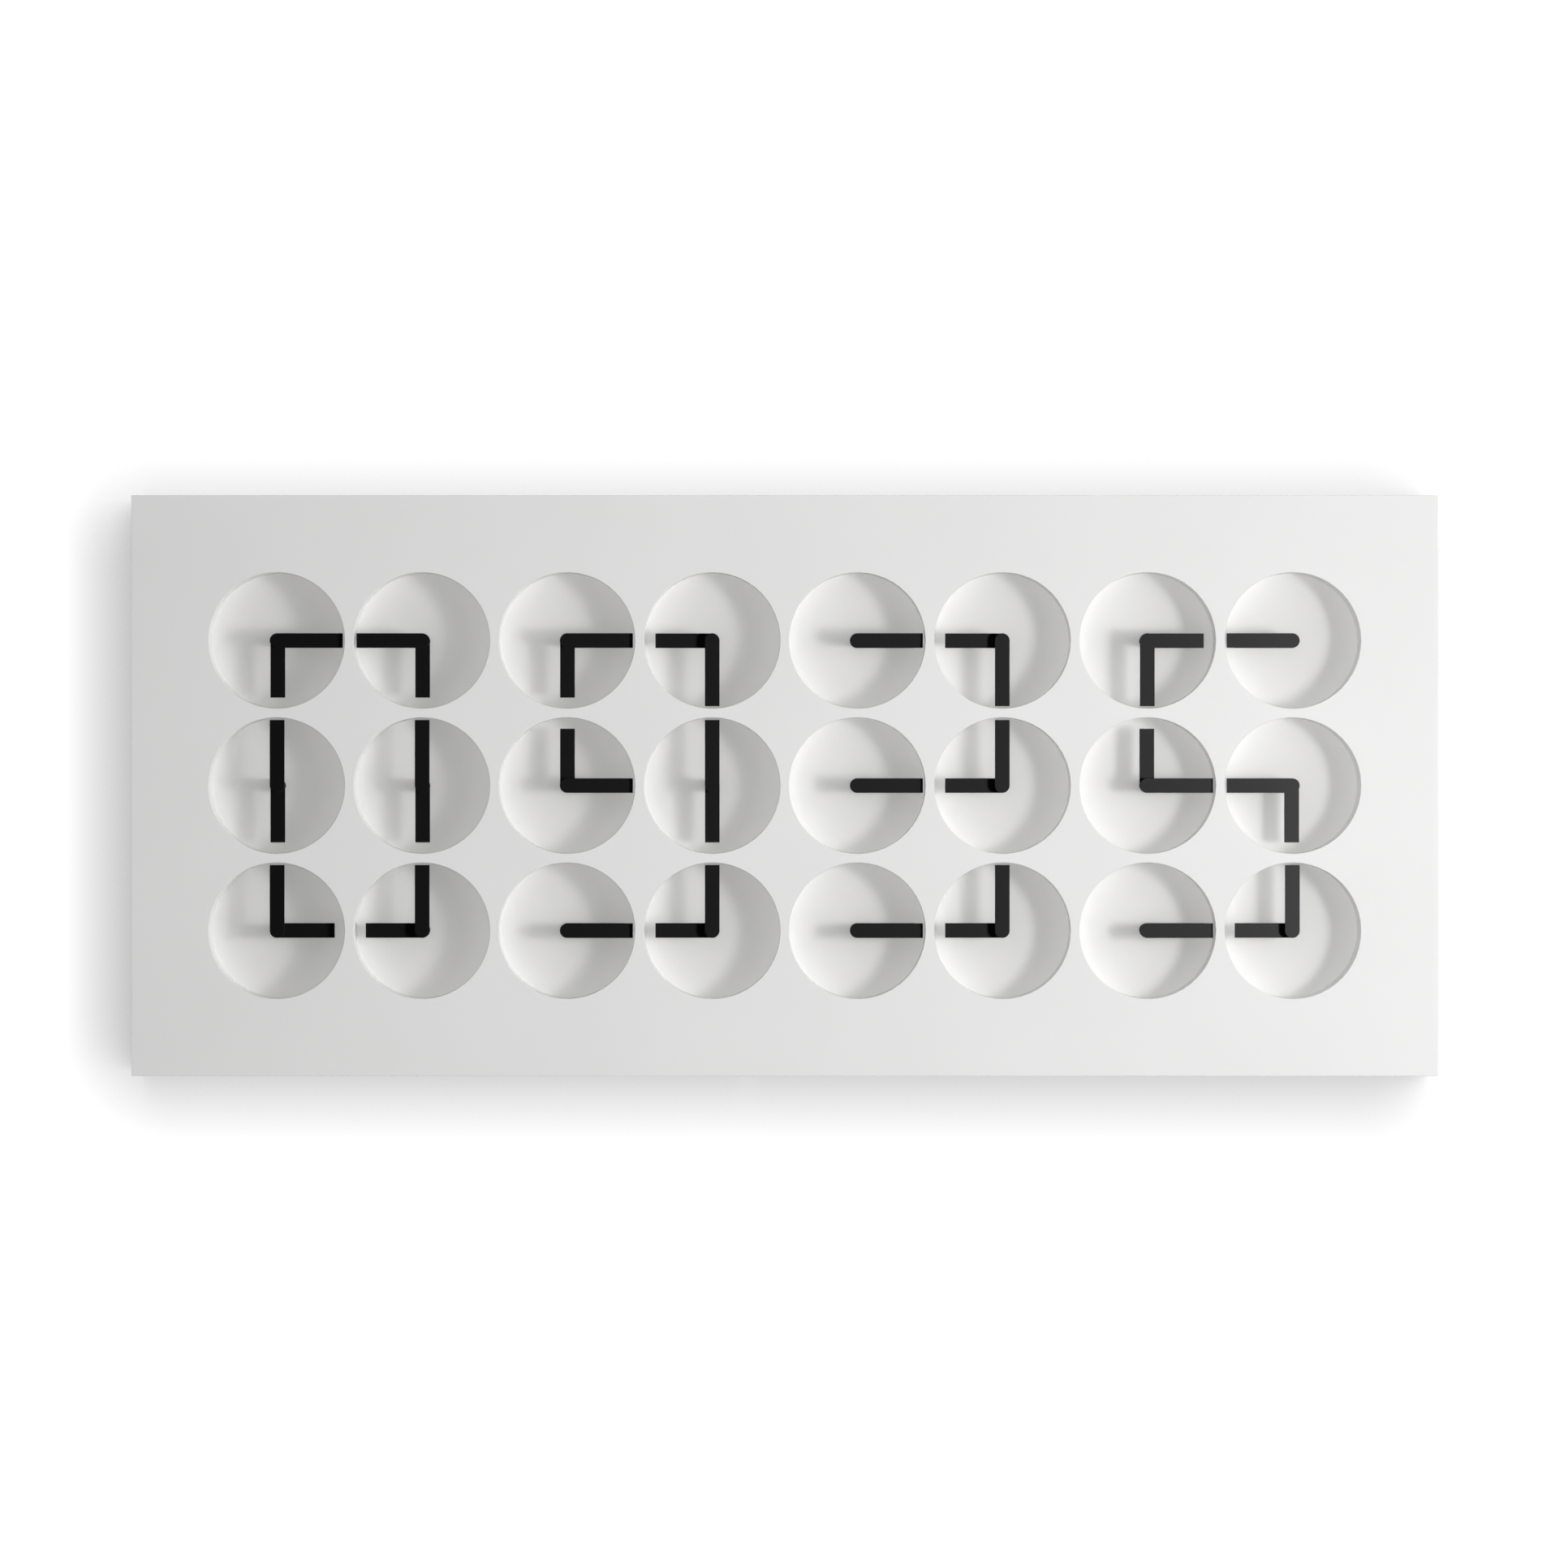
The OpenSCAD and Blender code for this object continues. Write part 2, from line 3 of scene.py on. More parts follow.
import bmesh
import bpy
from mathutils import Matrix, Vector


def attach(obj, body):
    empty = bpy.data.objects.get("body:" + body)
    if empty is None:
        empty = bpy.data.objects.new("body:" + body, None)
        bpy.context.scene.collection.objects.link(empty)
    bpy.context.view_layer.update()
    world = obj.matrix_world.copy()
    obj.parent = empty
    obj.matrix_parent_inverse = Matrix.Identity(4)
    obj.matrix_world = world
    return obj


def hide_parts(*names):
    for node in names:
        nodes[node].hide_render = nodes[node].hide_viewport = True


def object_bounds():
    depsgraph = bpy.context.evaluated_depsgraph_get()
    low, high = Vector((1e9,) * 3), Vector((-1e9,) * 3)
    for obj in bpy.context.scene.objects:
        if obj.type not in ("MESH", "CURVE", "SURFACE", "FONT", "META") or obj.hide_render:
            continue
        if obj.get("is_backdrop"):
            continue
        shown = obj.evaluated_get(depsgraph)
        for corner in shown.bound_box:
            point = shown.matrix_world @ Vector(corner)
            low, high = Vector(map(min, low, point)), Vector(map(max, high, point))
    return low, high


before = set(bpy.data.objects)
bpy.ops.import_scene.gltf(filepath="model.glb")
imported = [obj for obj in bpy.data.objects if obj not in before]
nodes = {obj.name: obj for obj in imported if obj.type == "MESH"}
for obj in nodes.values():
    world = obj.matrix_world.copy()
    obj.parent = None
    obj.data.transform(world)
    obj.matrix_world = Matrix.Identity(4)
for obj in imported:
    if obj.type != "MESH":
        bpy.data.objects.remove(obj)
cad_low, cad_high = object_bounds()

# Case rails: four mitred lengths of fibreboard that make the sides of the case.
# They are glued behind the face panel, filled, rubbed down and sprayed white with it.
lacquer_white = (0.935, 0.935, 0.931)
lacquer_roughness = 0.85
lacquer_sheen = 0.1
lacquer_peel = 0.0011
lacquer_peel_depth = 0.000003
mottle_scale = 9
mottle_detail = 4
film_gloss_spread = 0.05


def sprayed_finish(name, colour, roughness, sheen, grain, depth, mottle=0.012):
    """A paint film: mottled colour, uneven gloss and a fine skin, its grain and depth in metres."""
    material = bpy.data.materials.new(name)
    material.use_nodes = True
    tree = material.node_tree
    paint = tree.nodes["Principled BSDF"]
    paint.inputs["Specular IOR Level"].default_value = sheen
    place = tree.nodes.new("ShaderNodeTexCoord")

    cloud = tree.nodes.new("ShaderNodeTexNoise")
    cloud.inputs["Scale"].default_value = mottle_scale
    cloud.inputs["Detail"].default_value = mottle_detail
    tree.links.new(place.outputs["Object"], cloud.inputs["Vector"])
    tint = tree.nodes.new("ShaderNodeValToRGB")
    tint.color_ramp.elements[0].position = 0.3
    tint.color_ramp.elements[1].position = 0.7
    tint.color_ramp.elements[0].color = (*(c * (1 - mottle) for c in colour), 1)
    tint.color_ramp.elements[1].color = (*(min(c * (1 + mottle), 1) for c in colour), 1)
    tree.links.new(cloud.outputs["Fac"], tint.inputs["Fac"])
    tree.links.new(tint.outputs["Color"], paint.inputs["Base Color"])

    gloss = tree.nodes.new("ShaderNodeMapRange")
    gloss.inputs["To Min"].default_value = roughness - film_gloss_spread
    gloss.inputs["To Max"].default_value = roughness + film_gloss_spread
    tree.links.new(cloud.outputs["Fac"], gloss.inputs["Value"])
    tree.links.new(gloss.outputs["Result"], paint.inputs["Roughness"])

    skin = tree.nodes.new("ShaderNodeTexNoise")
    skin.inputs["Scale"].default_value = 1 / grain
    skin.inputs["Detail"].default_value = 2
    tree.links.new(place.outputs["Object"], skin.inputs["Vector"])
    bump = tree.nodes.new("ShaderNodeBump")
    bump.inputs["Distance"].default_value = depth
    tree.links.new(skin.outputs["Fac"], bump.inputs["Height"])
    tree.links.new(bump.outputs["Normal"], paint.inputs["Normal"])
    return material


def dress(node, material):
    """Gives a piece that keeps its construction shape its finish."""
    nodes[node].data.materials.clear()
    nodes[node].data.materials.append(material)


lacquer = sprayed_finish(
    "white_lacquer", lacquer_white, lacquer_roughness, lacquer_sheen, lacquer_peel, lacquer_peel_depth
)
dress("side_frame", lacquer)

# Face panel: one fibreboard sheet with a grid of round through holes cut by a router,
# its edges just broken, sprayed white all over in matt lacquer.
dress("front_panel", lacquer)

# Dial plate: a white powder-coated aluminium sheet behind the face panel.
# It closes every recess with a flat floor and lets the shafts through in the middle.
dial_colour = (0.858, 0.854, 0.845)
dial_roughness = 0.85
dial_sheen = 0.1
dial_grain = 0.0006
dial_grain_depth = 0.00001
dial_white = sprayed_finish(
    "dial_white", dial_colour, dial_roughness, dial_sheen, dial_grain, dial_grain_depth
)
dress("dial_plate", dial_white)

# Stepper motors: black moulded housings, one behind each dial, with two coaxial shafts.
# Their pegs drop into the driver boards, and a fine spark-eroded grain covers the plastic.
motor_colour = (0.02, 0.02, 0.021)
motor_roughness = 0.5
motor_grain_depth = 0.00003
spark_grain = 0.0005
plastic_ior = 1.53
flow_scale = 60
flow_tint = 0.12
flow_gloss_spread = 0.06


def moulded(name, colour, roughness, grain_depth):
    """A moulded plastic with the pitted grain of its tool."""
    material = bpy.data.materials.new(name)
    material.use_nodes = True
    tree = material.node_tree
    plastic = tree.nodes["Principled BSDF"]
    plastic.inputs["IOR"].default_value = plastic_ior
    place = tree.nodes.new("ShaderNodeTexCoord")

    pits = tree.nodes.new("ShaderNodeTexVoronoi")
    pits.inputs["Scale"].default_value = 1 / spark_grain
    tree.links.new(place.outputs["Object"], pits.inputs["Vector"])
    bump = tree.nodes.new("ShaderNodeBump")
    bump.inputs["Distance"].default_value = grain_depth
    tree.links.new(pits.outputs["Distance"], bump.inputs["Height"])
    tree.links.new(bump.outputs["Normal"], plastic.inputs["Normal"])

    flow = tree.nodes.new("ShaderNodeTexNoise")
    flow.inputs["Scale"].default_value = flow_scale
    flow.inputs["Detail"].default_value = 3
    tree.links.new(place.outputs["Object"], flow.inputs["Vector"])
    tint = tree.nodes.new("ShaderNodeValToRGB")
    tint.color_ramp.elements[0].color = (*(c * (1 - flow_tint) for c in colour), 1)
    tint.color_ramp.elements[1].color = (*(min(c * (1 + flow_tint), 1) for c in colour), 1)
    tree.links.new(flow.outputs["Fac"], tint.inputs["Fac"])
    tree.links.new(tint.outputs["Color"], plastic.inputs["Base Color"])
    gloss = tree.nodes.new("ShaderNodeMapRange")
    gloss.inputs["To Min"].default_value = roughness - flow_gloss_spread
    gloss.inputs["To Max"].default_value = roughness + flow_gloss_spread
    tree.links.new(flow.outputs["Fac"], gloss.inputs["Value"])
    tree.links.new(gloss.outputs["Result"], plastic.inputs["Roughness"])
    return material


motor_black = moulded("motor_black", motor_colour, motor_roughness, motor_grain_depth)
dress("stepper_motors", motor_black)

# Driver boards: glass-fibre circuit boards, one for each digit, under a green solder mask.
# They stand on the dial plate's bosses and carry the motors, their drivers and cable headers.
# Depths from the wall are in millimetres here, the pitch and height of the tracks in metres.
mm = 0.001
board_face = -23.4
part_rise = 0.05
track_pitch = 0.0024
track_width = 0.09
track_height = 0.00003
track_step = 0.37
track_length = 2.6
track_row = 0.5
mask_roughness = 0.3
mask_green = (0.008, 0.075, 0.03, 1)
mask_pale_green = (0.010, 0.088, 0.036, 1)
track_green = (0.024, 0.17, 0.06, 1)
part_colour = (0.016, 0.016, 0.017)
part_roughness = 0.45


def circuit(name, parts_stand_on):
    """Solder mask over a close pattern of tracks, and black plastic for what stands behind a depth."""
    material = bpy.data.materials.new(name)
    material.use_nodes = True
    tree = material.node_tree
    mask = tree.nodes["Principled BSDF"]
    mask.inputs["Roughness"].default_value = mask_roughness
    place = tree.nodes.new("ShaderNodeTexCoord")
    axes = tree.nodes.new("ShaderNodeSeparateXYZ")
    tree.links.new(place.outputs["Object"], axes.inputs["Vector"])
    flat = tree.nodes.new("ShaderNodeCombineXYZ")
    tree.links.new(axes.outputs["X"], flat.inputs["X"])
    tree.links.new(axes.outputs["Z"], flat.inputs["Y"])

    tracks = tree.nodes.new("ShaderNodeTexBrick")
    tracks.offset = track_step
    tracks.inputs["Scale"].default_value = 1 / track_pitch
    tracks.inputs["Mortar Size"].default_value = track_width
    tracks.inputs["Mortar Smooth"].default_value = 0.2
    tracks.inputs["Brick Width"].default_value = track_length
    tracks.inputs["Row Height"].default_value = track_row
    tracks.inputs["Color1"].default_value = mask_green
    tracks.inputs["Color2"].default_value = mask_pale_green
    tracks.inputs["Mortar"].default_value = track_green
    tree.links.new(flat.outputs["Vector"], tracks.inputs["Vector"])
    tree.links.new(tracks.outputs["Color"], mask.inputs["Base Color"])
    bump = tree.nodes.new("ShaderNodeBump")
    bump.inputs["Distance"].default_value = track_height
    tree.links.new(tracks.outputs["Fac"], bump.inputs["Height"])
    tree.links.new(bump.outputs["Normal"], mask.inputs["Normal"])

    part = tree.nodes.new("ShaderNodeBsdfPrincipled")
    part.inputs["Base Color"].default_value = (*part_colour, 1)
    part.inputs["Roughness"].default_value = part_roughness
    stands = tree.nodes.new("ShaderNodeMath")
    stands.operation = "GREATER_THAN"
    stands.inputs[1].default_value = parts_stand_on
    tree.links.new(axes.outputs["Y"], stands.inputs[0])
    either_one = tree.nodes.new("ShaderNodeMixShader")
    tree.links.new(stands.outputs["Value"], either_one.inputs["Fac"])
    tree.links.new(mask.outputs["BSDF"], either_one.inputs[1])
    tree.links.new(part.outputs["BSDF"], either_one.inputs[2])
    tree.links.new(either_one.outputs["Shader"], tree.nodes["Material Output"].inputs["Surface"])
    return material


board_green = circuit("board_green", (board_face + part_rise) * mm)
dress("driver_boards", board_green)

# Board screws: small zinc-plated machine screws with domed heads and hexagon sockets.
# They hold the boards to the threaded bosses.
zinc = (0.62, 0.62, 0.6)
zinc_roughness = 0.34
zinc_scratch = 0.000008
dull_scale = 220
dull_tint = 0.86
dull_gloss_spread = 0.08
drawn_scale = (9000, 9000, 700)


def plated(name, colour, roughness, scratch):
    """Plated metal with a fine drawn grain, a little dulled in patches."""
    material = bpy.data.materials.new(name)
    material.use_nodes = True
    tree = material.node_tree
    metal = tree.nodes["Principled BSDF"]
    metal.inputs["Metallic"].default_value = 1
    place = tree.nodes.new("ShaderNodeTexCoord")

    dull = tree.nodes.new("ShaderNodeTexNoise")
    dull.inputs["Scale"].default_value = dull_scale
    dull.inputs["Detail"].default_value = 3
    tree.links.new(place.outputs["Object"], dull.inputs["Vector"])
    tint = tree.nodes.new("ShaderNodeValToRGB")
    tint.color_ramp.elements[0].color = (*(c * dull_tint for c in colour), 1)
    tint.color_ramp.elements[1].color = (*colour, 1)
    tree.links.new(dull.outputs["Fac"], tint.inputs["Fac"])
    tree.links.new(tint.outputs["Color"], metal.inputs["Base Color"])
    gloss = tree.nodes.new("ShaderNodeMapRange")
    gloss.inputs["To Min"].default_value = roughness - dull_gloss_spread
    gloss.inputs["To Max"].default_value = roughness + dull_gloss_spread
    tree.links.new(dull.outputs["Fac"], gloss.inputs["Value"])
    tree.links.new(gloss.outputs["Result"], metal.inputs["Roughness"])

    drawn = tree.nodes.new("ShaderNodeMapping")
    drawn.inputs["Scale"].default_value = drawn_scale
    tree.links.new(place.outputs["Object"], drawn.inputs["Vector"])
    grain = tree.nodes.new("ShaderNodeTexNoise")
    grain.inputs["Scale"].default_value = 1
    tree.links.new(drawn.outputs["Vector"], grain.inputs["Vector"])
    bump = tree.nodes.new("ShaderNodeBump")
    bump.inputs["Distance"].default_value = scratch
    tree.links.new(grain.outputs["Fac"], bump.inputs["Height"])
    tree.links.new(bump.outputs["Normal"], metal.inputs["Normal"])
    return material


screw_steel = plated("screw_steel", zinc, zinc_roughness, zinc_scratch)
dress("board_screws", screw_steel)

# Control board: the clock's own circuit board, on four bosses behind the service bay.
# It carries the clock chip with its crystal, a smoothing capacitor, a coin cell, the two
# switches and a cable header. Sizes of parts are in millimetres, grains and scratches in metres.
control_middle = -159.0
control_width, control_height = 120, 40
control_front = -25.0
control_corner = 1.2
edge_break = 0.1
part_line = -145.0
crease_angle = 35
case_roughness, case_grain_depth = 0.42, 0.00001
gold = (0.75, 0.56, 0.24)
gold_roughness, gold_scratch = 0.28, 0.000004
part_black = moulded("part_black", part_colour, case_roughness, case_grain_depth)
pin_gold = plated("pin_gold", gold, gold_roughness, gold_scratch)


def outline(middle, width, height, corner, depth, steps=8, down=False):
    """A closed outline with rounded corners round a middle, level with the wall or looking down."""
    points = []
    for quarter in range(4):
        across = (1, -1, -1, 1)[quarter] * (width / 2 - corner)
        up = (1, 1, -1, -1)[quarter] * (height / 2 - corner)
        for step in range(steps):
            turn = (quarter + (step + 0.5) / steps) * math.pi / 2
            first = middle[0] + across + corner * math.cos(turn)
            second = middle[1] + up + corner * math.sin(turn)
            place = (first, second, depth) if down else (first, depth, second)
            points.append(tuple(length * mm for length in place))
    return points


def circle(middle, radius, depth, steps=8, down=False):
    """A round outline."""
    return outline(middle, 2 * radius, 2 * radius, radius, depth, steps, down)


def piece(name, forms, material, body="case", hollow=False):
    """One piece from forms that run from outline to outline, closed at their ends or through a bore."""
    vertices, faces = [], []
    for form in forms:
        count, first = len(form[0]), len(vertices)
        for ring in form:
            vertices.extend(ring)
        rings = len(form)
        for level in range(rings if hollow else rings - 1):
            here, there = first + level * count, first + (level + 1) % rings * count
            for i in range(count):
                j = (i + 1) % count
                faces.append((here + i, here + j, there + j, there + i))
        if not hollow:
            faces.append(tuple(range(first, first + count)))
            faces.append(tuple(range(len(vertices) - count, len(vertices))))
    mesh = bpy.data.meshes.new(name)
    mesh.from_pydata(vertices, [], faces)
    work = bmesh.new()
    work.from_mesh(mesh)
    bmesh.ops.recalc_face_normals(work, faces=work.faces)
    work.to_mesh(mesh)
    work.free()
    mesh.polygons.foreach_set("use_smooth", [True] * len(mesh.polygons))
    mesh.set_sharp_from_angle(angle=math.radians(crease_angle))
    mesh.materials.append(material)
    made = bpy.data.objects.new(name, mesh)
    bpy.context.scene.collection.objects.link(made)
    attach(made, body)
    return made


blank = piece(
    "control_blank",
    [[
        outline(
            (0, control_middle),
            control_width - 2 * inset,
            control_height - 2 * inset,
            control_corner - inset,
            depth,
        )
        for inset, depth in (
            (edge_break, control_front), (0, control_front + edge_break),
            (0, board_face - edge_break), (edge_break, board_face),
        )
    ]],
    board_green,
)

chip_middle = (-4.0, control_middle)
chip_side, chip_end_side, chip_corner = 10, 9.5, 0.4
chip_top = -22.0
dot_middle = (chip_middle[0] - 3.4, chip_middle[1] + 3.4)
chip = piece(
    "clock_chip",
    [[
        outline(chip_middle, chip_end_side, chip_end_side, chip_corner, -23.3),
        outline(chip_middle, chip_side, chip_side, chip_corner, -22.75),
        outline(chip_middle, chip_side, chip_side, chip_corner, -22.6),
        outline(chip_middle, chip_end_side, chip_end_side, chip_corner, chip_top),
        circle(dot_middle, 0.55, chip_top),
        circle(dot_middle, 0.45, chip_top - 0.1),
    ]],
    part_black,
)
legs = []
leg_pitch, leg_width, leg_corner = 0.8, 0.34, 0.05
for number in range(-5, 6):
    for side in (-1, 1):
        for foot, width, low, high in (
            (5.75, 0.7, board_face, -23.25), (5.4, 0.16, -23.3, -22.7), (5.15, 0.5, -22.8, -22.66)
        ):
            for upright in (False, True):
                along, out = number * leg_pitch, side * foot
                place = (along, out) if upright else (out, along)
                size = (leg_width, width) if upright else (width, leg_width)
                middle = (chip_middle[0] + place[0], chip_middle[1] + place[1])
                legs.append([outline(middle, *size, leg_corner, depth, 1) for depth in (low, high)])
leads = piece("chip_leads", legs, screw_steel)

switch_middles = ((12.0, control_middle), (28.0, control_middle))
switch_side, switch_corner, switch_top = 8, 0.5, -18.15
plunger_bore = 1.8
plate_side, plate_corner, plate_top = 7.6, 0.6, -17.4
plate_bore = 1.85
switches = piece(
    "switch_bodies",
    [
        [
            outline(middle, switch_side, switch_side, switch_corner, board_face),
            outline(middle, switch_side, switch_side, switch_corner, -18.3),
            outline(middle, 7.7, 7.7, switch_corner, switch_top),
            circle(middle, plunger_bore, switch_top),
            circle(middle, plunger_bore, -23.3),
        ]
        for middle in switch_middles
    ],
    part_black,
)
plates = piece(
    "switch_plates",
    [
        [
            outline(middle, plate_side, plate_side, plate_corner, switch_top),
            outline(middle, plate_side, plate_side, plate_corner, -17.6),
            outline(middle, 7.2, 7.2, plate_corner, plate_top),
            circle(middle, 2.4, plate_top),
            circle(middle, plate_bore, -17.6),
            circle(middle, plate_bore, switch_top),
        ]
        for middle in switch_middles
    ],
    screw_steel,
    hollow=True,
)

crystal_middle = (-12.0, part_line)
crystal = piece(
    "crystal_can",
    [[
        outline(crystal_middle, 11.6, 5.2, 2.6, board_face),
        outline(crystal_middle, 11.6, 5.2, 2.6, -23.05),
        outline(crystal_middle, 11, 4.6, 2.3, -22.9),
        outline(crystal_middle, 11, 4.6, 2.3, -20.5),
        outline(crystal_middle, 10.7, 4.3, 2.15, -20.05),
        outline(crystal_middle, 10.1, 3.7, 1.85, -19.9),
    ]],
    screw_steel,
)

capacitor_middle = (-1.35, part_line)
can_colour = (0.78, 0.78, 0.79)
can_roughness, can_scratch = 0.38, 0.000006
capacitor_foot = piece(
    "capacitor_foot",
    [[
        outline(capacitor_middle, 6.5, 6.5, 0.9, board_face),
        outline(capacitor_middle, 6.5, 6.5, 0.9, -22.7),
        circle(capacitor_middle, 2.9, -22.4),
    ]],
    part_black,
)
capacitor = piece(
    "capacitor_can",
    [[
        circle(capacitor_middle, radius, depth)
        for radius, depth in (
            (3.0, -22.6), (3.15, -22.4), (3.15, -21.7), (2.85, -21.4), (2.85, -21.2), (3.15, -20.9),
            (3.15, -16.8), (3.0, -16.5), (2.7, -16.4), (2.5, -16.45), (1.2, -16.5),
        )
    ]],
    plated("can_aluminium", can_colour, can_roughness, can_scratch),
)

header_middle = (10.8, part_line)
header = piece(
    "cable_header",
    [[
        outline(header_middle, 14, 6, 0.4, board_face),
        outline(header_middle, 14, 6, 0.4, -16.6),
        outline(header_middle, 13.7, 5.7, 0.4, -16.4),
        outline(header_middle, 12.6, 4.6, 0.3, -16.4),
        outline(header_middle, 12.4, 4.4, 0.3, -16.7),
        outline(header_middle, 12.4, 4.4, 0.3, -21.4),
    ]],
    part_black,
)
posts = []
post_pitch, post_side = 2, 0.5
for number in range(-2, 3):
    for row in (-1, 1):
        post = (header_middle[0] + number * post_pitch, header_middle[1] + row * post_pitch / 2)
        posts.append(
            [
                outline(post, post_side, post_side, 0.05, -21.5, 1),
                outline(post, post_side, post_side, 0.05, -17.9, 1),
                outline(post, 0.2, 0.2, 0.02, -17.5, 1),
            ]
        )
header_posts = piece("header_posts", posts, pin_gold)

cell_middle = (40.25, control_middle)
clip_reach, clip_width = 6.05, 2.4
cell_holder = piece(
    "cell_holder",
    [[
        circle(cell_middle, 6.25, board_face),
        circle(cell_middle, 6.25, -21.7),
        circle(cell_middle, 6.05, -21.5),
        circle(cell_middle, 5.7, -21.5),
        circle(cell_middle, 5.6, board_face),
    ]],
    part_black,
    hollow=True,
)
cell = piece(
    "coin_cell",
    [[
        circle(cell_middle, radius, depth)
        for radius, depth in (
            (5.3, -23.3), (5.5, -23.1), (5.5, -21.0), (5.3, -20.7), (4.8, -20.55), (4.6, -20.6),
        )
    ]],
    screw_steel,
)
clip = piece(
    "cell_clip",
    [
        [
            outline(cell_middle, 12.3, clip_width, 0.3, -20.6, 3),
            outline(cell_middle, 12.3, clip_width, 0.3, -20.45, 3),
            outline(cell_middle, 12.1, 2.2, 0.3, -20.4, 3),
        ],
    ] + [
        [
            outline((cell_middle[0] + reach, cell_middle[1]), 0.3, clip_width, 0.1, depth, 2)
            for depth in (board_face, -20.5)
        ]
        for reach in (clip_reach, -clip_reach)
    ],
    pin_gold,
)

bead_pitch = 3.4
bead_rows = ((-16.0, -150.4, 6), (-17.0, -168.4, 9), (-34.0, -173.6, 3), (17.0, -173.6, 3))
bead_middles = [
    (first + number * bead_pitch, z) for first, z, count in bead_rows for number in range(count)
]
beads, ends = [], []
for x, z in bead_middles:
    beads.append(
        [
            outline((x, z), 0.82, 1.2, 0.08, board_face, 2),
            outline((x, z), 0.82, 1.2, 0.08, -23.0, 2),
            outline((x, z), 0.7, 1.1, 0.08, -22.94, 2),
        ]
    )
    for side in (-1, 1):
        end = (x, z + side * 0.72)
        ends.append([outline(end, 0.86, 0.34, 0.06, depth, 2) for depth in (board_face, -22.92)])
chip_beads = piece("chip_parts", beads, part_black)
chip_ends = piece("chip_part_ends", ends, screw_steel)
for made in (
    blank, chip, leads, switches, plates, crystal, capacitor_foot, capacitor,
    header, header_posts, cell_holder, cell, clip, chip_beads, chip_ends,
):
    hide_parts("control_board")

# Power inlet: a black moulded socket for a low-voltage barrel plug, soldered to the board.
# A plated pin stands in the middle of its bore.
inlet_middle = (-24.0, -17.9)
inlet_size, inlet_groove_size, inlet_corner = (9, 11), (8.6, 10.6), 0.6
inlet_mouth = -153.0
inlet_bore = 3.15
inlet_colour = (0.018, 0.018, 0.018)
inlet_roughness = 0.4
inlet_grain_depth = 0.00002
inlet = piece(
    "inlet_body",
    [[
        outline(inlet_middle, *inlet_groove_size, 0.5, -139.0, down=True),
        outline(inlet_middle, *inlet_size, inlet_corner, -139.2, down=True),
        outline(inlet_middle, *inlet_size, inlet_corner, -149.6, down=True),
        outline(inlet_middle, *inlet_groove_size, inlet_corner, -149.8, down=True),
        outline(inlet_middle, *inlet_groove_size, inlet_corner, -150.2, down=True),
        outline(inlet_middle, *inlet_size, inlet_corner, -150.4, down=True),
        outline(inlet_middle, *inlet_size, inlet_corner, -152.8, down=True),
        outline(inlet_middle, *inlet_groove_size, inlet_corner, inlet_mouth, down=True),
        circle(inlet_middle, 3.5, inlet_mouth, down=True),
        circle(inlet_middle, inlet_bore, -152.6, down=True),
        circle(inlet_middle, inlet_bore, -143.5, down=True),
    ]],
    moulded("inlet_black", inlet_colour, inlet_roughness, inlet_grain_depth),
)
inlet_pin = piece(
    "inlet_pin",
    [[
        circle(inlet_middle, radius, depth, down=True)
        for radius, depth in ((1.0, -143.4), (1.0, -151.2), (0.85, -151.7), (0.45, -152.0))
    ]],
    screw_steel,
)
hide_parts("power_inlet")
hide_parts("power_inlet")

# Push buttons: light grey moulded caps, dished for a fingertip, on round stems.
# The stems slide in the two switches, whose springs push the caps out again.
button_colour = (0.55, 0.55, 0.54)
button_roughness = 0.4
button_grain_depth = 0.00001
button_grey = moulded("button_grey", button_colour, button_roughness, button_grain_depth)
for button, middle in zip(("mode_button", "set_button"), switch_middles):
    cap = piece(
        button + "_cap",
        [[
            circle(middle, radius, depth)
            for radius, depth in (
                (1.55, -19.9), (1.7, -19.75), (1.7, -15.6), (3.8, -15.6), (4.0, -15.4), (4.0, -5.0),
                (3.9, -4.4), (3.6, -4.05), (3.3, -4.0), (2.9, -4.15), (1.9, -4.4), (0.8, -4.5),
            )
        ]],
        button_grey,
        body=button,
    )
    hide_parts(button)

# Hands: punched aluminium blades, black-anodised to a satin sheen and duller on their cut edges.
# The long hand's arbor runs through the short hand's sleeve, so the long blade lies in front.
hand_colour = (0.002, 0.002, 0.0021)
blade_roughness = 0.45
edge_roughness = 0.95
etch_grain = 0.0004
etch_depth = 0.000002
hand_black = bpy.data.materials.new("hand_black")
hand_black.use_nodes = True
tree = hand_black.node_tree
anodised = tree.nodes["Principled BSDF"]
anodised.inputs["Base Color"].default_value = (*hand_colour, 1)
place = tree.nodes.new("ShaderNodeTexCoord")
facing = tree.nodes.new("ShaderNodeSeparateXYZ")
tree.links.new(place.outputs["Normal"], facing.inputs["Vector"])
flatness = tree.nodes.new("ShaderNodeMath")
flatness.operation = "ABSOLUTE"
tree.links.new(facing.outputs["Y"], flatness.inputs[0])
gloss = tree.nodes.new("ShaderNodeMapRange")
gloss.inputs["To Min"].default_value = edge_roughness
gloss.inputs["To Max"].default_value = blade_roughness
tree.links.new(flatness.outputs["Value"], gloss.inputs["Value"])
tree.links.new(gloss.outputs["Result"], anodised.inputs["Roughness"])
etch = tree.nodes.new("ShaderNodeTexNoise")
etch.inputs["Scale"].default_value = 1 / etch_grain
tree.links.new(place.outputs["Object"], etch.inputs["Vector"])
bump = tree.nodes.new("ShaderNodeBump")
bump.inputs["Distance"].default_value = etch_depth
tree.links.new(etch.outputs["Fac"], bump.inputs["Height"])
tree.links.new(bump.outputs["Normal"], anodised.inputs["Normal"])
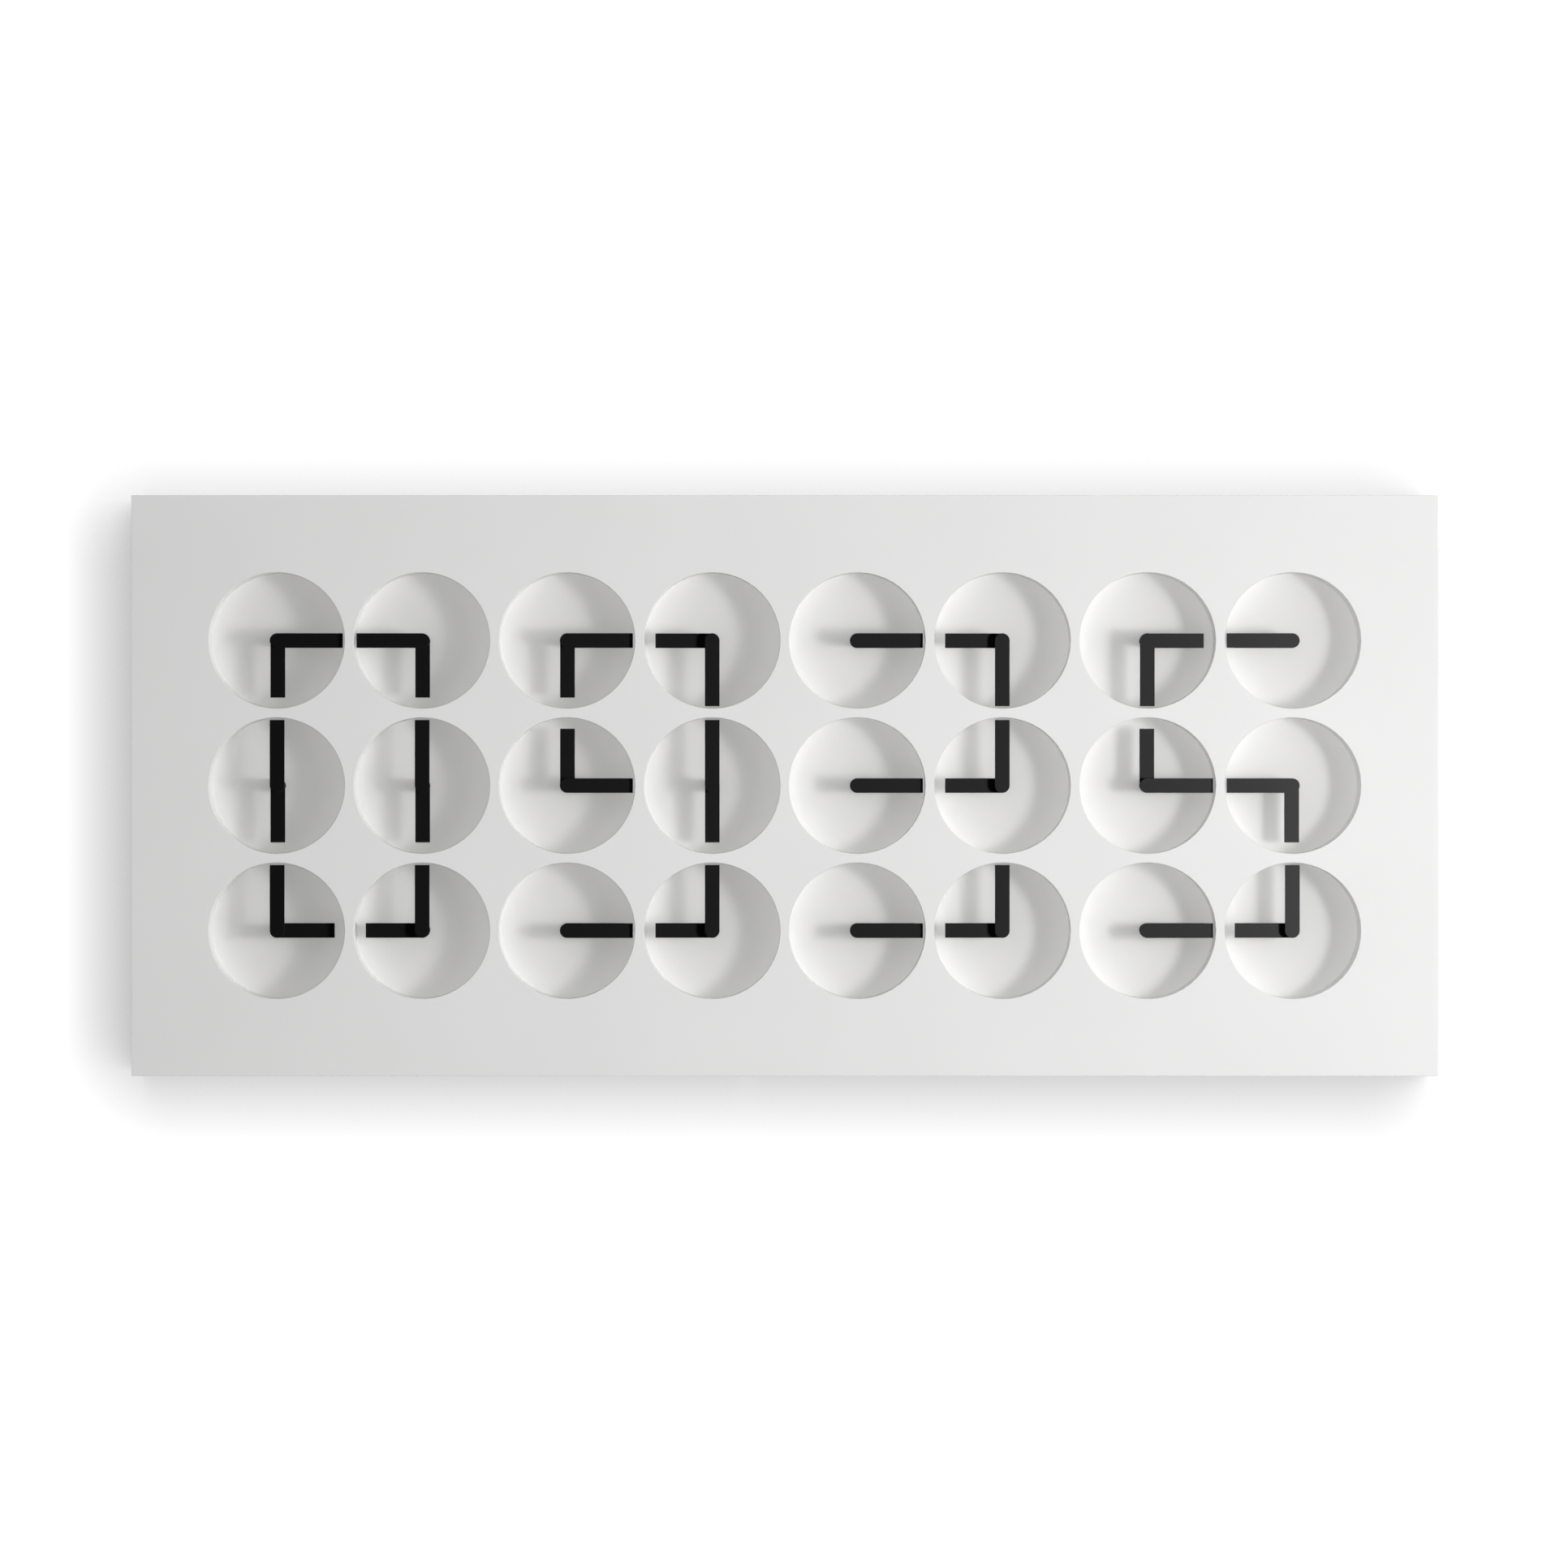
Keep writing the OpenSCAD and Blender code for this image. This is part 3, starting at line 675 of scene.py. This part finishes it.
for node in nodes:
    if node.startswith(("long_hand", "short_hand")):
        dress(node, hand_black)

# Rear cover: one aluminium sheet, powder-coated light grey, let in flush with the rails.
# It has keyholes to hang by, cooling slots, and a bay for the inlet and buttons.
cover_colour = (0.6, 0.605, 0.61)
cover_roughness = 0.5
cover_sheen = 0.5
cover_mottle = 0.03
powder_grain = 0.0009
powder_depth = 0.00004
cover_grey = sprayed_finish(
    "cover_grey", cover_colour, cover_roughness, cover_sheen, powder_grain, powder_depth, cover_mottle
)
dress("rear_cover", cover_grey)

# Cover screws: flat-headed machine screws, zinc-plated, with hexagon sockets.
# They hold the cover's edge down to the rails and lie flush in its countersinks.
dress("cover_screws", screw_steel)

# Wall: the plain white wall that the clock hangs on, glowing white to the eye. It shows from the front
# only.
# Round the case its glow is darkened by occlusion leaned towards the upper right, a painted shadow of the
# case.
# It is left open behind the case, so the back can be lit, but for a sheet that only the
# eye sees, through the cable notch.
wall_half = 3.0
sheet_gap = 0.0005
wall_white = 1.08
wall_bounce = 0.85
painted_shadow_reach = 0.06
painted_shadow_share = 0.77
painted_shadow_lean = (1.0, -1.0, 0.4)


def flat_piece(name, corners, faces):
    """One flat piece of the stage."""
    mesh = bpy.data.meshes.new(name)
    mesh.from_pydata(corners, [], faces)
    made = bpy.data.objects.new(name, mesh)
    bpy.context.scene.collection.objects.link(made)
    return made


wall = flat_piece(
    "wall",
    [
        (-wall_half, cad_high.y, -wall_half),
        (wall_half, cad_high.y, -wall_half),
        (wall_half, cad_high.y, wall_half),
        (-wall_half, cad_high.y, wall_half),
        (cad_low.x, cad_high.y, cad_low.z),
        (cad_high.x, cad_high.y, cad_low.z),
        (cad_high.x, cad_high.y, cad_high.z),
        (cad_low.x, cad_high.y, cad_high.z),
    ],
    [(0, 1, 5, 4), (1, 2, 6, 5), (2, 3, 7, 6), (3, 0, 4, 7)],
)
wall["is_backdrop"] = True
wall.visible_glossy = False
wall.visible_transmission = False
# This sheet shows only to the eye. With the wall's finish it paints shade into the cable notch, where the
# case's hollow is dark.
sheet = flat_piece(
    "wall_behind",
    [
        (cad_low.x, cad_high.y + sheet_gap, cad_low.z),
        (cad_high.x, cad_high.y + sheet_gap, cad_low.z),
        (cad_high.x, cad_high.y + sheet_gap, cad_high.z),
        (cad_low.x, cad_high.y + sheet_gap, cad_high.z),
    ],
    [(0, 1, 2, 3)],
)
sheet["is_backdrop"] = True
sheet.visible_diffuse = False
sheet.visible_glossy = False
sheet.visible_transmission = False
sheet.visible_shadow = False
plaster = bpy.data.materials.new("wall_white")
plaster.use_nodes = True
tree = plaster.node_tree
tree.nodes.remove(tree.nodes["Principled BSDF"])
# The wall's white is its own glow; the occlusion below darkens a share of it near the case into a painted
# shadow.
open_wall = tree.nodes.new("ShaderNodeEmission")
open_wall.inputs["Strength"].default_value = wall_white
painted_shadow_occlusion = tree.nodes.new("ShaderNodeAmbientOcclusion")
painted_shadow_occlusion.inputs["Distance"].default_value = painted_shadow_reach
lean = tree.nodes.new("ShaderNodeCombineXYZ")
for socket, value in zip(lean.inputs, Vector(painted_shadow_lean).normalized()):
    socket.default_value = value
tree.links.new(lean.outputs["Vector"], painted_shadow_occlusion.inputs["Normal"])
shaded_wall = tree.nodes.new("ShaderNodeEmission")
shaded_wall.inputs["Strength"].default_value = wall_white
tree.links.new(painted_shadow_occlusion.outputs["Color"], shaded_wall.inputs["Color"])
bounced = tree.nodes.new("ShaderNodeBsdfDiffuse")
bounced.inputs["Color"].default_value = (wall_bounce, wall_bounce, wall_bounce, 1)
clear = tree.nodes.new("ShaderNodeBsdfTransparent")
ray = tree.nodes.new("ShaderNodeLightPath")
side = tree.nodes.new("ShaderNodeNewGeometry")


def either(share, first, second):
    """One shader of the wall or another, by the share of the second: white or painted shadow, bounced or
    seen, front or clear back.
    """
    node = tree.nodes.new("ShaderNodeMixShader")
    if isinstance(share, float):
        node.inputs["Fac"].default_value = share
    else:
        tree.links.new(share, node.inputs["Fac"])
    tree.links.new(first, node.inputs[1])
    tree.links.new(second, node.inputs[2])
    return node.outputs["Shader"]


# What the eye sees: the glowing white mixed with the painted shadow round the case.
looked_at = either(painted_shadow_share, open_wall.outputs["Emission"], shaded_wall.outputs["Emission"])
front = either(ray.outputs["Is Camera Ray"], bounced.outputs["BSDF"], looked_at)
both_sides = either(side.outputs["Backfacing"], front, clear.outputs["BSDF"])
tree.links.new(both_sides, tree.nodes["Material Output"].inputs["Surface"])
plaster.cycles.emission_sampling = "NONE"
wall.data.materials.append(plaster)
sheet.data.materials.append(plaster)

# Studio: weak light from all round, two lamps to the right, one small and one large, a fill beside the
# camera, and lamps for the sheen of the hands and for the back. A scrim tones down the case's right side.
# The white surroundings show to the eye and in metal, but the camera's end of the room is dark.
ambient = 0.266
sky_gain = 0.25
right_gain = -0.6
dark_until = -0.1
white_from = 0.25
world = bpy.data.worlds.new("studio")
bpy.context.scene.world = world
world.use_nodes = True
world.cycles.sampling_method = "NONE"
tree = world.node_tree
background = tree.nodes["Background"]
background.inputs["Color"].default_value = (1, 1, 1, 1)
ray = tree.nodes.new("ShaderNodeLightPath")
direction = tree.nodes.new("ShaderNodeTexCoord")
axes = tree.nodes.new("ShaderNodeSeparateXYZ")
tree.links.new(direction.outputs["Generated"], axes.inputs["Vector"])


def step(operation, first, second):
    """One sum in the studio's light, of two sockets or numbers."""
    node = tree.nodes.new("ShaderNodeMath")
    node.operation = operation
    for socket, value in zip(node.inputs, (first, second)):
        if isinstance(value, (int, float)):
            socket.default_value = value
        else:
            tree.links.new(value, socket)
    return node.outputs["Value"]


leaning = step(
    "ADD",
    step("MULTIPLY", axes.outputs["Z"], sky_gain),
    step("MULTIPLY", axes.outputs["X"], right_gain),
)
lit = step("MULTIPLY", step("ADD", leaning, 1), ambient)
mirrored = step("MAXIMUM", ray.outputs["Is Glossy Ray"], ray.outputs["Is Transmission Ray"])
dark_end = tree.nodes.new("ShaderNodeMapRange")
dark_end.inputs["From Min"].default_value = dark_until
dark_end.inputs["From Max"].default_value = white_from
tree.links.new(axes.outputs["Y"], dark_end.inputs["Value"])
seen = step("MULTIPLY", dark_end.outputs["Result"], mirrored)
unseen = step("MULTIPLY", lit, step("SUBTRACT", 1, mirrored))
strength = step("MAXIMUM", step("ADD", seen, unseen), ray.outputs["Is Camera Ray"])
tree.links.new(strength, background.inputs["Strength"])


def lamp(name, size, power, place, towards):
    """A round lamp at a place, turned to look in a direction."""
    light = bpy.data.lights.new(name, "AREA")
    light.shape = "DISK"
    light.size = size
    light.energy = power
    made = bpy.data.objects.new(name, light)
    made.location = place
    made.rotation_euler = towards.to_track_quat("-Z", "Y").to_euler()
    bpy.context.scene.collection.objects.link(made)
    return made


leftwards = Vector((-1, 0, 0))
key_size = 0.3
key_power = 4.45
key_place = Vector((1.15, cad_low.y - 0.77, -0.05))
key = lamp("key", key_size, key_power, key_place, leftwards)
key.data.use_nodes = True
tree = key.data.node_tree
spread = tree.nodes.new("ShaderNodeLightFalloff")
spread.inputs["Strength"].default_value = 1
tree.links.new(spread.outputs["Linear"], tree.nodes["Emission"].inputs["Strength"])

soft_size = 2.0
soft_power = 33
soft_place = Vector((2.5, cad_low.y - 1.6, 0))
soft = lamp("soft", soft_size, soft_power, soft_place, leftwards)
soft.visible_glossy = False

fill_size = 0.3
fill_power = 27
fill_place = Vector((0, cad_low.y - 2.9, 0))
fill_turn = math.radians(45)
fill_towards = Vector((math.sin(fill_turn), math.cos(fill_turn), 0))
fill = lamp("fill", fill_size, fill_power, fill_place, fill_towards)
fill.visible_glossy = False

sheen_size = 0.22
sheen_power = 31
sheen = lamp("sheen", sheen_size, sheen_power, key_place, Vector((0, cad_low.y, 0)) - key_place)
sheen.visible_diffuse = False

scrim_gap = 0.0008
scrim_tint = 0.45
scrim = flat_piece(
    "scrim",
    [
        (cad_high.x + scrim_gap, cad_low.y + scrim_gap, cad_low.z),
        (cad_high.x + scrim_gap, cad_high.y, cad_low.z),
        (cad_high.x + scrim_gap, cad_high.y, cad_high.z),
        (cad_high.x + scrim_gap, cad_low.y + scrim_gap, cad_high.z),
    ],
    [(0, 1, 2, 3)],
)
scrim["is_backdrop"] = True
scrim.visible_camera = False
scrim.visible_diffuse = False
scrim.visible_glossy = False
scrim.visible_transmission = False
gauze = bpy.data.materials.new("scrim_gauze")
gauze.use_nodes = True
tree = gauze.node_tree
tree.nodes.remove(tree.nodes["Principled BSDF"])
veil = tree.nodes.new("ShaderNodeBsdfTransparent")
veil.inputs["Color"].default_value = (scrim_tint, scrim_tint, scrim_tint, 1)
tree.links.new(veil.outputs["BSDF"], tree.nodes["Material Output"].inputs["Surface"])
scrim.data.materials.append(gauze)

back_size = 0.6
back_power = 10
back_place = Vector((0.9, 1.5, 0.9))
lamp("back", back_size, back_power, back_place, -back_place)

# Camera: straight in front of the middle of the face, on a long lens that hides the case's sides.
# Its distance follows from how far the dial floors shift against their rims.
camera_distance = 2.92
field = 1.08
sensor = 36.0
camera_across, camera_up = -0.0005, 0.0011
camera_data = bpy.data.cameras.new("camera")
camera_data.sensor_width = sensor
camera_data.lens = sensor * camera_distance / field
camera = bpy.data.objects.new("camera", camera_data)
camera.location = (camera_across, cad_low.y - camera_distance, camera_up)
camera.rotation_euler = (math.radians(90), 0, 0)
bpy.context.scene.collection.objects.link(camera)
bpy.context.scene.camera = camera
bpy.context.scene.view_settings.view_transform = "Standard"

# Sizes: the box round the dressed model, leaving out the stage.
low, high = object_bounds()
